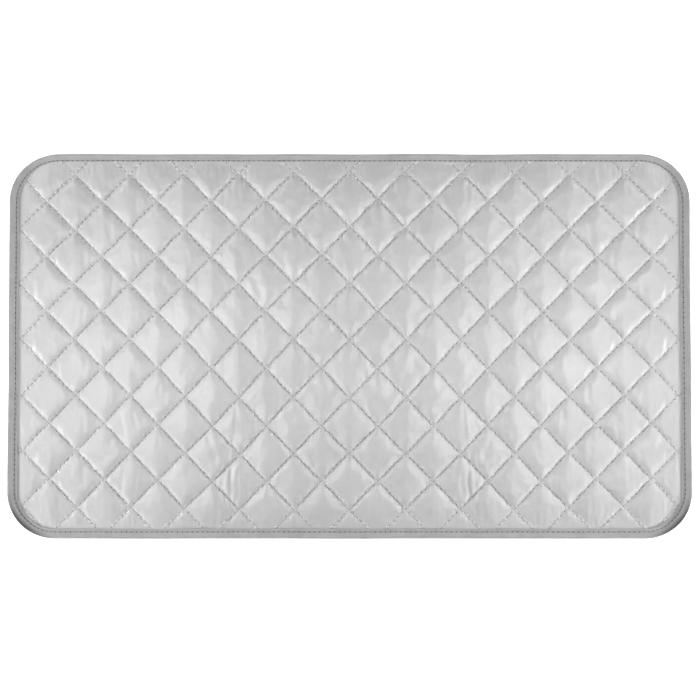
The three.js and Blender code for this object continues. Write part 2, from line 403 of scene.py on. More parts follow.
@dataclass
class SeamNet:
    """A grid on the two seam coordinates, cut to the outline. Its lines crowd together at the
    seams, where cloth bends most."""

    plan: PadPlan
    per_diamond: int
    crowding: float = 0.45
    held_past_tape: float = 1.0
    rise_past_tape: float = 26.0
    rising: np.ndarray = field(init=False)
    falling: np.ndarray = field(init=False)
    x: np.ndarray = field(init=False)
    y: np.ndarray = field(init=False)
    past_tape: np.ndarray = field(init=False)
    on_seam: np.ndarray = field(init=False)
    faces: np.ndarray = field(init=False)

    def __post_init__(self) -> None:
        """Lays the grid and keeps the quads whose middles are inside the cut edge."""
        reach = self.plan.seams_each_way
        even = np.arange(self.per_diamond) / self.per_diamond
        crowded = 0.5 - 0.5 * np.cos(np.pi * even)
        step = (1 - self.crowding) * even + self.crowding * crowded
        ticks = (np.arange(-reach, reach)[:, None] + step[None, :]).ravel()
        ticks = np.append(ticks, float(reach))
        size = len(ticks)
        rising, falling = (g.ravel() for g in np.meshgrid(ticks, ticks, indexing="ij"))
        x, y = self.plan.place(rising, falling)
        number = np.arange(size * size).reshape(size, size)
        quads = np.stack([number[:-1, :-1], number[:-1, 1:], number[1:, 1:], number[1:, :-1]],
                         axis=-1).reshape(-1, 4)
        middle_depth = self.plan.outward(x[quads].mean(axis=1), y[quads].mean(axis=1))[0]
        kept = quads[middle_depth > self.plan.cut_inset]
        used, renumbered = np.unique(kept, return_inverse=True)
        self.faces = renumbered.reshape(-1, 4)
        self.rising, self.falling = rising[used], falling[used]
        x, y = x[used], y[used]
        depth, out_x, out_y = self.plan.outward(x, y)
        over = np.maximum(self.plan.cut_inset - depth, 0.0)
        self.x, self.y = x - out_x * over, y - out_y * over
        self.past_tape = depth + over - self.plan.tape_reach(out_y)
        row, column = np.divmod(used, size)
        self.on_seam = (row % self.per_diamond == 0) | (column % self.per_diamond == 0)

    def swell(self, fullness: float, tape_fullness: float = 2.2) -> np.ndarray:
        """How far each point has swollen, from 0 on a seam or at the tape to 1 in the middle
        of a diamond: one minus a power of the way left to the middle, for both seam
        directions and for the way in from the tape.

        Args:
            fullness: the power. A larger one is steeper at the seams and flatter between.
            tape_fullness: the power for the way in from the tape.

        Returns:
            The swelling at each point.
        """
        ways = [2 * np.minimum(c - np.floor(c), np.ceil(c) - c)
                for c in (self.rising, self.falling)]
        inwards = np.clip((self.past_tape - self.held_past_tape) / self.rise_past_tape, 0.0, 1.0)
        grown = [1 - (1 - way) ** fullness for way in ways]
        return np.prod(grown + [1 - (1 - inwards) ** tape_fullness], axis=0)

    def maps(self) -> dict[str, np.ndarray]:
        """Two surface maps: the seam coordinates, and the flat cloth's places in millimetres."""
        return {"lattice": np.stack([self.rising, self.falling], axis=1),
                "cloth": np.stack([self.x, self.y], axis=1)}

    def sheet(self, name: str, points: np.ndarray) -> Object:
        """A single layer of cloth on the net, whose cut edge lies under the tape.

        Args:
            name: the piece's name.
            points: n by 3 places.

        Returns:
            The piece, with the maps "lattice" and "cloth".
        """
        return make_piece(name, points, self.faces, self.maps())

    def shell(self, name: str, top: np.ndarray, bottom: np.ndarray) -> Object:
        """A closed layer between two surfaces on the net: the top, the bottom turned over, and
        a wall along the cut edge, which is every quad side that no second quad shares.

        Args:
            name: the piece's name.
            top: n by 3 places of the upper surface.
            bottom: n by 3 places of the lower surface.

        Returns:
            The piece, with the maps "lattice" and "cloth".
        """
        count = len(top)
        sides = np.concatenate([self.faces[:, [k, (k + 1) % 4]] for k in range(4)])
        key = np.sort(sides, axis=1) @ np.array([count, 1])
        _, first, uses = np.unique(key, return_index=True, return_counts=True)
        rim = sides[first[uses == 1]]
        wall = np.stack([rim[:, 1], rim[:, 0], rim[:, 0] + count, rim[:, 1] + count], axis=1)
        faces = np.concatenate([self.faces, self.faces[:, ::-1] + count, wall])
        maps = {layer: np.concatenate([uv, uv]) for layer, uv in self.maps().items()}
        return make_piece(name, np.concatenate([top, bottom]), faces, maps)


@dataclass(frozen=True)
class SilverSatin:
    """Polyester satin coated with aluminium powder: a pale grey, evenly soft sheen with the
    faint mottling of the coating, and painted shade that darkens the needle holes along the seams."""

    plan: PadPlan
    colour: str = "D2D2D2"
    dull_colour: str = "C9C9C9"
    # Painted shade: the dark grey that the cloth is mixed towards in its needle holes.
    hole_shade_colour: str = "868686"
    roughness: float = 0.47
    metallic: float = 0.2
    thread_mm: float = 0.9
    mottle_mm: float = 7.0
    cloud_mm: float = 90.0
    weave_height_mm: float = 0.02
    mottle_height_mm: float = 0.06
    mottle_share: float = 0.6
    warp_share: float = 0.5
    hole_radius_mm: float = 1.1
    pucker_mm: float = 2.4
    pucker_reach_mm: float = 7.0
    pucker_height_mm: float = 1.7
    bead_reach_mm: float = 2.4
    seam_flat_mm: float = 0.3
    bead_height_mm: float = 0.9

    def material(self) -> Material:
        """Builds the material.

        The weave is drawn at 0.9 mm, about three times as coarse as satin, so that it shows.

        Returns:
            The node material.
        """
        material = new_material("silver_satin", {"Metallic": self.metallic})
        tree = material.node_tree
        cloth = add_node(tree, "ShaderNodeUVMap", {"uv_map": "cloth"}).outputs["UV"]
        mottle = add_node(tree, "ShaderNodeTexNoise", None, {
            "Vector": cloth, "Scale": 1 / self.mottle_mm, "Detail": 4.0, "Roughness": 0.6})
        clouds = add_node(tree, "ShaderNodeTexNoise", None, {
            "Vector": cloth, "Scale": 1 / self.cloud_mm, "Detail": 2.0})
        blend = add_node(tree, "ShaderNodeMath", {"operation": "MULTIPLY_ADD"}, {
            0: mottle.outputs["Fac"], 1: self.mottle_share, 2: clouds.outputs["Fac"]})
        shade = add_node(tree, "ShaderNodeMapRange", None, {
            "Value": blend.outputs[0], "From Min": 0.55, "From Max": 1.05})
        tint = add_node(tree, "ShaderNodeMix", {"data_type": "RGBA"}, {
            0: shade.outputs[0], 6: linear(self.dull_colour), 7: linear(self.colour)})
        holes, beside_seam, beads = self.seam_marks(tree)
        # Painted shade: each needle hole is mixed towards a dark grey.
        hole_shaded = add_node(tree, "ShaderNodeMix", {"data_type": "RGBA"}, {
            0: holes, 6: tint.outputs[2], 7: linear(self.hole_shade_colour)})
        sheen = add_node(tree, "ShaderNodeMapRange", None, {
            "Value": mottle.outputs["Fac"], "From Min": 0.3, "From Max": 0.7,
            "To Min": self.roughness - 0.05, "To Max": self.roughness + 0.07})
        tree.links.new(sheen.outputs[0], tree.nodes[SHADER].inputs["Roughness"])
        warp, weft = crossing_bands(tree, cloth, (self.thread_mm, self.thread_mm), (1.0, 1.0), 0.5)
        mesh = add_node(tree, "ShaderNodeMath", {"operation": "MULTIPLY_ADD"}, {
            0: warp, 1: self.warp_share, 2: weft})
        pulls = add_node(tree, "ShaderNodeTexNoise", None, {
            "Vector": cloth, "Scale": 1 / self.pucker_mm, "Detail": 1.0})
        level = add_node(tree, "ShaderNodeMath", {"operation": "SUBTRACT"}, {
            0: pulls.outputs["Fac"], 1: 0.5})
        puckers = add_node(tree, "ShaderNodeMath", {"operation": "MULTIPLY"}, {
            0: level.outputs[0], 1: beside_seam})
        # The heights of weave, coating, beads and puckers add up, in millimetres.
        height = add_node(tree, "ShaderNodeMath", {"operation": "MULTIPLY"}, {
            0: mesh.outputs[0], 1: self.weave_height_mm}).outputs[0]
        for part, size in ((mottle.outputs["Fac"], self.mottle_height_mm),
                           (beads, self.bead_height_mm),
                           (puckers.outputs[0], self.pucker_height_mm)):
            height = add_node(tree, "ShaderNodeMath", {"operation": "MULTIPLY_ADD"}, {
                0: part, 1: size, 2: height}).outputs[0]
        finish_surface(tree, hole_shaded.outputs[2], height, 1.0, 1.0)
        return material

    def seam_marks(self, tree: NodeTree) -> tuple[NodeSocket, ...]:
        """Finds the seams on the lattice map. On a seam one coordinate is whole and the other
        counts stitches. The cloth is pulled down at each needle hole and stands up in a bead
        between two holes.

        Args:
            tree: the material's node tree.

        Returns:
            The mask of painted shade, 1 in a needle hole and 0 away from it, one that fades from
            1 on a seam to 0 where its puckers end, and one for the beads, from 0 to 1.
        """
        lattice = add_node(tree, "ShaderNodeUVMap", {"uv_map": "lattice"}).outputs["UV"]
        parts = add_node(tree, "ShaderNodeSeparateXYZ", None, {"Vector": lattice}).outputs
        spacing, stitches = self.plan.seam_spacing, self.plan.stitches_per_diamond
        across = [off_whole(tree, parts[axis], 1.0, spacing) for axis in ("X", "Y")]
        along = [off_whole(tree, parts[axis], float(stitches), spacing / stitches)
                 for axis in ("Y", "X")]
        marks = []
        for aside, ahead in zip(across, along):
            hole = round_spot(tree, aside, ahead, self.hole_radius_mm)
            beside, close = (add_node(
                tree, "ShaderNodeMapRange", {"interpolation_type": "SMOOTHSTEP"}, {
                    "Value": aside, "From Min": reach, "From Max": self.seam_flat_mm}).outputs[0]
                for reach in (self.pucker_reach_mm, self.bead_reach_mm))
            raised = add_node(tree, "ShaderNodeMath", {"operation": "MULTIPLY"}, {
                0: ahead, 1: 2 * stitches / spacing})
            bead = add_node(tree, "ShaderNodeMath", {"operation": "MULTIPLY"}, {
                0: raised.outputs[0], 1: close}).outputs[0]
            marks.append((hole, beside, bead))
        # Where seams of both directions reach, the larger mark counts.
        return tuple(add_node(tree, "ShaderNodeMath", {"operation": "MAXIMUM"},
                              {0: one, 1: other}).outputs[0] for one, other in zip(*marks))


@dataclass(frozen=True)
class WovenCloth:
    """A plain-woven polyester and cotton cloth: matt, with over-and-under threads that show
    close up and slubs that are a little lighter or darker."""

    name: str
    colour: str
    dark_colour: str
    thread_mm: float
    roughness: float = 0.88
    slub_mm: float = 5.0
    weave_share: float = 0.5

    def material(self) -> Material:
        """Builds the material.

        Returns:
            The node material.
        """
        material = new_material(self.name, {
            "Roughness": self.roughness, "Sheen Weight": 0.15})
        tree = material.node_tree
        cloth = add_node(tree, "ShaderNodeUVMap", {"uv_map": "cloth"}).outputs["UV"]
        warp, weft = crossing_bands(tree, cloth, (self.thread_mm, self.thread_mm), (0.6, 0.6), 1.0)
        cross = add_node(tree, "ShaderNodeMath", {"operation": "MULTIPLY"}, {0: warp, 1: weft})
        slubs = add_node(tree, "ShaderNodeTexNoise", None, {
            "Vector": cloth, "Scale": 1 / self.slub_mm, "Detail": 5.0})
        shade = add_node(tree, "ShaderNodeMath", {"operation": "MULTIPLY_ADD"}, {
            0: cross.outputs[0], 1: self.weave_share, 2: slubs.outputs["Fac"]})
        level = add_node(tree, "ShaderNodeMapRange", None, {
            "Value": shade.outputs[0], "From Min": 0.35, "From Max": 0.95})
        tint = add_node(tree, "ShaderNodeMix", {"data_type": "RGBA"}, {
            0: level.outputs[0], 6: linear(self.dark_colour), 7: linear(self.colour)})
        finish_surface(tree, tint.outputs[2], cross.outputs[0], 0.5, 0.12)
        return material


@dataclass(frozen=True)
class RibbedTape:
    """Woven polyester binding tape: mid grey with a slight sheen, fine ribs across the tape
    and a few stronger threads along it. Painted shade darkens its outer half round the near
    corners and its needle holes."""

    stitch_mm: float
    colour: str = "B6B6B6"
    dark_colour: str = "A0A0A0"
    # Painted shade: the dark grey of the tape's outer half round the near corners.
    corner_shade_colour: str = "383838"
    # Painted shade: the dark grey that the tape is mixed towards at its needle holes.
    hole_shade_colour: str = "404040"
    rib_mm: float = 1.1
    cord_mm: float = 2.6
    wear_mm: float = 14.0
    cord_share: float = 0.7
    weave_share: float = 0.3
    hole_radius_mm: float = 1.2

    def material(self) -> Material:
        """Builds the material. Its map runs along the tape and then across it, in millimetres.

        The ribs are drawn at 1.1 mm, about twice as coarse as on such tape, so that they show.

        Returns:
            The node material.
        """
        material = new_material("ribbed_tape", {"Roughness": 0.62, "Sheen Weight": 0.1})
        tree = material.node_tree
        tape = add_node(tree, "ShaderNodeUVMap", {"uv_map": "cloth"}).outputs["UV"]
        ribs, cords = crossing_bands(tree, tape, (self.rib_mm, self.cord_mm), (0.8, 1.5), 0.3)
        wear = add_node(tree, "ShaderNodeTexNoise", None, {
            "Vector": tape, "Scale": 1 / self.wear_mm, "Detail": 4.0})
        height = add_node(tree, "ShaderNodeMath", {"operation": "MULTIPLY_ADD"}, {
            0: cords, 1: self.cord_share, 2: ribs})
        shade = add_node(tree, "ShaderNodeMath", {"operation": "MULTIPLY_ADD"}, {
            0: height.outputs[0], 1: self.weave_share, 2: wear.outputs["Fac"]})
        level = add_node(tree, "ShaderNodeMapRange", None, {
            "Value": shade.outputs[0], "From Min": 0.45, "From Max": 1.05})
        tint = add_node(tree, "ShaderNodeMix", {"data_type": "RGBA"}, {
            0: level.outputs[0], 6: linear(self.dark_colour), 7: linear(self.colour)})
        # Painted shade: the tape's outer half is darkened where it curls up at the near corners.
        curl = add_node(tree, "ShaderNodeAttribute", {"attribute_name": "curl"}).outputs["Fac"]
        corner_shaded = add_node(tree, "ShaderNodeMix", {"data_type": "RGBA"}, {
            0: curl, 6: tint.outputs[2], 7: linear(self.corner_shade_colour)})
        # Painted shade: the tape is mixed towards a dark grey at each needle hole of its stitches.
        seam = add_node(tree, "ShaderNodeUVMap", {"uv_map": "seam"}).outputs["UV"]
        parts = add_node(tree, "ShaderNodeSeparateXYZ", None, {"Vector": seam}).outputs
        hole = round_spot(tree, parts["Y"], off_whole(tree, parts["X"], 1.0, self.stitch_mm),
                          self.hole_radius_mm)
        hole_shaded = add_node(tree, "ShaderNodeMix", {"data_type": "RGBA"}, {
            0: hole, 6: corner_shaded.outputs[2], 7: linear(self.hole_shade_colour)})
        finish_surface(tree, hole_shaded.outputs[2], height.outputs[0], 0.8, 0.16)
        return material


@dataclass(frozen=True)
class SpunThread:
    """Spun polyester sewing thread: two plies twisted together, with slanting light and dark
    bands and a soft sheen."""

    name: str
    colour: str
    dark_colour: str
    ply_mm: float = 0.8
    twist: float = 0.6

    def material(self) -> Material:
        """Builds the material, once for all the pieces of this thread. Its map runs along the
        strand in millimetres, then round it.

        Returns:
            The node material.
        """
        if self.name in bpy.data.materials:
            return bpy.data.materials[self.name]
        material = new_material(self.name, {"Roughness": 0.55, "Sheen Weight": 0.2})
        tree = material.node_tree
        strand = add_node(tree, "ShaderNodeUVMap", {"uv_map": "cloth"}).outputs["UV"]
        slant = add_node(tree, "ShaderNodeMapping", None, {
            "Vector": strand, "Rotation": (0.0, 0.0, self.twist)})
        plies = add_node(tree, "ShaderNodeTexWave", {"wave_profile": "SIN"}, {
            "Vector": slant.outputs[0], "Scale": WAVE_BAND / self.ply_mm, "Distortion": 0.5})
        tint = add_node(tree, "ShaderNodeMix", {"data_type": "RGBA"}, {
            0: plies.outputs["Fac"], 6: linear(self.dark_colour), 7: linear(self.colour)})
        finish_surface(tree, tint.outputs[2], plies.outputs["Fac"], 0.6, 0.08)
        return material


@dataclass(frozen=True)
class Crease:
    """A line that packing has pressed into the face, given for the right half of the pad and
    mirrored on the left. Sizes are in millimetres, and a negative height is a valley."""

    start: tuple[float, float]
    end: tuple[float, float]
    height: float
    width: float
    fade: float = 9.0

    def lift(self, x: np.ndarray, y: np.ndarray) -> np.ndarray:
        """The height that the crease adds: a bell curve across its line, which fades in and
        out at the line's ends.

        Args:
            x: places along the pad.
            y: places across the pad.

        Returns:
            The added height at each place.
        """
        way = np.subtract(self.end, self.start)
        length = float(np.hypot(*way))
        way = way / length
        past_x, past_y = np.abs(x) - self.start[0], y - self.start[1]
        gone = past_x * way[0] + past_y * way[1]
        aside = past_y * way[0] - past_x * way[1]
        shown = smoothstep(0.0, self.fade, gone) * smoothstep(0.0, self.fade, length - gone)
        return self.height * shown * np.exp(-(aside / self.width) ** 2)


@dataclass
class QuiltedCloths:
    """The three layers between the seams: face cloth, wadding and backing cloth. A zone is a
    pair of lengths: where an effect begins, and where it is full."""

    plan: PadPlan
    face_grid: int = 24
    back_grid: int = 12
    wadding_grid: int = 6
    cloth_thickness: float = 0.4
    puff: float = 1.8
    puff_power: float = 8.0
    crown: float = 3.4
    crown_power: float = 6.0
    crown_rounding: float = 0.008
    crown_bends: Unevenness = Unevenness(0.14, 75.0, 40)
    held_share: float = 0.5
    held_reach: float = 45.0
    dents: Unevenness = Unevenness(0.48, 28.0, 41)
    dent_scale: tuple[float, float] = (1.6, 0.9)
    dent_zone: tuple[float, float] = (60.0, 260.0)
    middle_dents: float = 1.5
    ridge: float = 0.4
    ridge_length: float = 16.0
    ridge_power: float = 3.0
    ridge_lean: float = 0.6
    ridge_share: float = 0.4
    ridge_patches: Unevenness = Unevenness(0.9, 45.0, 43)
    ridge_bends: Unevenness = Unevenness(4.0, 70.0, 42)
    ridged_along: tuple[float, float] = (170.0, 300.0)
    fold: float = 0.4
    fold_length: float = 9.0
    fold_place: float = 150.0
    fold_width: float = 20.0
    fold_bends: Unevenness = Unevenness(2.5, 30.0, 44)
    folded_far: tuple[float, float] = (165.0, 215.0)
    folded_near: tuple[float, float] = (60.0, 200.0)
    middle_fold: float = 0.08
    puckers: Unevenness = Unevenness(0.3, 6.5, 45)
    gather: float = 0.9
    gather_length: float = 6.0
    gather_share: float = 0.1
    gather_patches: Unevenness = Unevenness(1.0, 40.0, 47)
    gather_bends: Unevenness = Unevenness(2.0, 25.0, 48)
    gathered_in: tuple[float, float] = (26.0, 4.0)
    gathered_across: tuple[float, float] = (165.0, 205.0)
    back_power: float = 5.0
    back_puckers: Unevenness = Unevenness(0.08, 9.0, 8)
    back_pucker_power: float = 3.0
    wadding_power: float = 2.0
    wadding_top: tuple[float, float] = (2.3, 2.4)
    wadding_bottom: tuple[float, float] = (1.9, -0.9)
    creases: tuple[Crease, ...] = (
        Crease((144.0, -62.0), (155.5, -226.0), 0.9, 1.5),
        Crease((140.5, -68.0), (152.0, -222.0), -0.6, 2.2),
        Crease((136.5, -126.0), (146.0, -184.0), 0.7, 1.4),
        Crease((178.0, -106.0), (165.0, -150.0), -0.9, 3.5),
        Crease((171.0, -104.0), (158.0, -150.0), 0.8, 4.0),
        Crease((152.0, 232.0), (152.0, 200.0), 0.6, 1.5),
        Crease((145.6, 232.0), (145.0, 204.0), 0.6, 1.5),
        Crease((139.4, 232.0), (139.0, 206.0), 0.5, 1.5),
        Crease((133.0, 232.0), (133.0, 208.0), 0.4, 1.5),
        Crease((193.0, 196.0), (189.0, 172.0), 0.45, 1.4),
        Crease((187.0, 197.0), (183.0, 173.0), 0.45, 1.4),
        Crease((181.0, 197.0), (177.0, 174.0), 0.4, 1.4),
    )
    slack: float = 0.006
    pressure: float = 0.03
    sim_scale: float = 20.0
    frames: int = 11
    most_moved: float = 3.0

    def ridge_zone(self, net: SeamNet) -> np.ndarray:
        """How much the cloth has been rolled up, from 0 at mid-length to 1 near the ends."""
        return smoothstep(*self.ridged_along, np.abs(net.x))

    def fold_zone(self, net: SeamNet) -> np.ndarray:
        """How much the two folds from packing have marked the cloth: a bell curve across each
        fold, faint in the middle of the pad and full near the far and the near edge."""
        bell = np.exp(-((np.abs(net.x) - self.fold_place) / self.fold_width) ** 2)
        far = smoothstep(*self.folded_far, net.y)
        near = smoothstep(*self.folded_near, -net.y)
        return bell * (self.middle_fold + (1 - self.middle_fold) * np.maximum(far, near))

    def held_down(self, net: SeamNet) -> np.ndarray:
        """How free the cloth is to swell: a share beside the tape, and 1 a diamond further in."""
        return self.held_share + (1 - self.held_share) * smoothstep(0.0, self.held_reach, net.past_tape)

    def roofs(self, net: SeamNet) -> np.ndarray:
        """A soft roof over each diamond with its ridge across the pad: one less the root of
        the squared way across the diamond, rounded off at the ridge.

        Args:
            net: the face's grid.

        Returns:
            The height of the roof at each place.
        """
        way = (net.falling - np.floor(net.falling)) - (net.rising - np.floor(net.rising))
        way = way + self.crown_bends.at(net.x, net.y)
        roof = self.crown * (1.0 - np.sqrt(way ** 2 + self.crown_rounding))
        return self.held_down(net) * net.swell(self.crown_power) * roof

    def swelled_sheet(self, net: SeamNet) -> np.ndarray:
        """The face's upper surface before it settles. It rises steeply from the seams, less
        beside the tape, and small waves lie on it: dents all over, ridges across the pad
        towards the ends, close ripples along the two folds, and gathers where the tape draws
        it in.

        Args:
            net: the face's grid.

        Returns:
            n by 3 places.
        """
        x, y = net.x, net.y
        rise = net.swell(self.puff_power)
        more = self.middle_dents - (self.middle_dents - 1) * smoothstep(*self.dent_zone, np.abs(x))
        dents = more * self.dents.at(self.dent_scale[0] * x, self.dent_scale[1] * y)
        phase = 2 * np.pi * (np.abs(x) + self.ridge_bends.at(x, y)) / self.ridge_length
        ridges = self.ridge * self.ridge_zone(net) * np.sin(phase - self.ridge_lean * np.sin(phase)) \
            * np.maximum(self.ridge_share + self.ridge_patches.at(x, y), 0.0)
        along = np.abs(x) - self.fold_place + self.fold_bends.at(x, y)
        folds = self.fold * self.fold_zone(net) * np.sin(2 * np.pi * along / self.fold_length)
        puckers = (1 - rise) * self.puckers.at(x, y)
        drawn = smoothstep(*self.gathered_in, net.past_tape) \
            * smoothstep(*self.gathered_across, np.abs(y)) \
            * np.maximum(self.gather_share + self.gather_patches.at(x, y), 0.0)
        gathers = self.gather * drawn * np.sin(
            2 * np.pi * (x + self.gather_bends.at(x, y)) / self.gather_length)
        z = self.plan.face_seam_z + net.swell(self.ridge_power) * ridges + rise * (
            self.held_down(net) * (self.puff + dents) + folds + puckers + gathers)
        return np.stack([x, y, z], axis=1)

    def relax(self, net: SeamNet, sheet: np.ndarray) -> np.ndarray:
        """Lets the face cloth settle with Blender's Cloth. Its seams and its rim under the
        tape are pinned, the wadding presses it up from below, and there is a little more cloth
        than room between the seams.

        Args:
            net: the face's grid.
            sheet: the swollen surface that the cloth starts from.

        Returns:
            n by 3 places of the settled cloth, none further than most_moved from its start.
        """
        scene = bpy.context.scene
        # Blender's cloth is tuned for a spacing of centimetres, so the sheet settles enlarged.
        work = make_piece("cloth_in_work", sheet * self.sim_scale, net.faces)
        sewn = work.vertex_groups.new(name="sewn")
        pinned = net.on_seam | (net.past_tape < net.held_past_tape)
        sewn.add(np.flatnonzero(pinned).tolist(), 1.0, "REPLACE")
        cloth = work.modifiers.new("settle", "CLOTH")
        for name, value in {
                "vertex_group_mass": "sewn", "pin_stiffness": 1.0, "shrink_min": -self.slack,
                "quality": 5, "mass": 0.1, "tension_stiffness": 15.0, "compression_stiffness": 15.0,
                "shear_stiffness": 5.0, "bending_stiffness": 0.05, "tension_damping": 5.0,
                "compression_damping": 5.0, "shear_damping": 5.0, "bending_damping": 0.5,
                "use_pressure": True, "uniform_pressure_force": self.pressure}.items():
            setattr(cloth.settings, name, value)
        cloth.settings.effector_weights.gravity = 0.0
        cloth.collision_settings.use_collision = False
        cloth.point_cache.frame_start, cloth.point_cache.frame_end = 1, self.frames
        for number in range(1, self.frames + 1):
            scene.frame_set(number)
        settled = work.evaluated_get(bpy.context.evaluated_depsgraph_get())
        places = np.empty(len(sheet) * 3, np.float32)
        settled.data.vertices.foreach_get("co", places)
        scene.frame_set(1)
        mesh = work.data
        bpy.data.objects.remove(work)
        bpy.data.meshes.remove(mesh)
        move = places.reshape(-1, 3).astype(float) / (MM * self.sim_scale) - sheet
        far = np.linalg.norm(move, axis=1, keepdims=True)
        LOG.info("face cloth settled: it moved %.2f mm at most", far.max())
        return sheet + move * np.minimum(1.0, self.most_moved / np.maximum(far, 1e-9))

    def face(self) -> Object:
        """Returns:
            The piece.
        """
        net = SeamNet(self.plan, self.face_grid)
        top = self.swelled_sheet(net)
        top = self.relax(net, top)
        pressed = sum(crease.lift(net.x, net.y) for crease in self.creases)
        top[:, 2] += self.roofs(net) + net.swell(self.puff_power) * pressed
        piece = net.sheet("face_cloth_quilted", top)
        piece.data.materials.append(SilverSatin(self.plan).material())
        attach(piece, BODY)
        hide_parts("face_cloth")
        return piece

    def wadding(self) -> Object:
        """The wadding: it fills the room between the cloths a little short of both.

        Returns:
            The piece.
        """
        net = SeamNet(self.plan, self.wadding_grid)
        swell = net.swell(self.wadding_power)
        top, bottom = (np.stack([net.x, net.y, at_seam + rise * swell], axis=1)
                       for at_seam, rise in (self.wadding_top, self.wadding_bottom))
        piece = net.shell("wadding_fill", top, bottom)
        finish = WovenCloth("polyester_wadding", "F4F3F0", "E2E0DC", 2.4, 0.97)
        piece.data.materials.append(finish.material())
        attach(piece, BODY)
        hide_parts("wadding")
        return piece

    def backing(self) -> Object:
        """The backing cloth: flat where it lies on the table, drawn up into a groove along
        every seam and up to the tape at the edge.

        Returns:
            The piece.
        """
        net = SeamNet(self.plan, self.back_grid)
        pucker = self.back_puckers.at(net.x, net.y) * (1 - net.swell(self.back_pucker_power))
        z = self.plan.back_seam_z * (1 - net.swell(self.back_power)) + np.abs(pucker)
        bottom = np.stack([net.x, net.y, z], axis=1)
        top = bottom + np.array([0.0, 0.0, self.cloth_thickness])
        piece = net.shell("backing_cloth_quilted", top, bottom)
        finish = WovenCloth("plain_backing", "C6C6C4", "ABABA9", 0.9)
        piece.data.materials.append(finish.material())
        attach(piece, BODY)
        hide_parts("backing_cloth")
        return piece


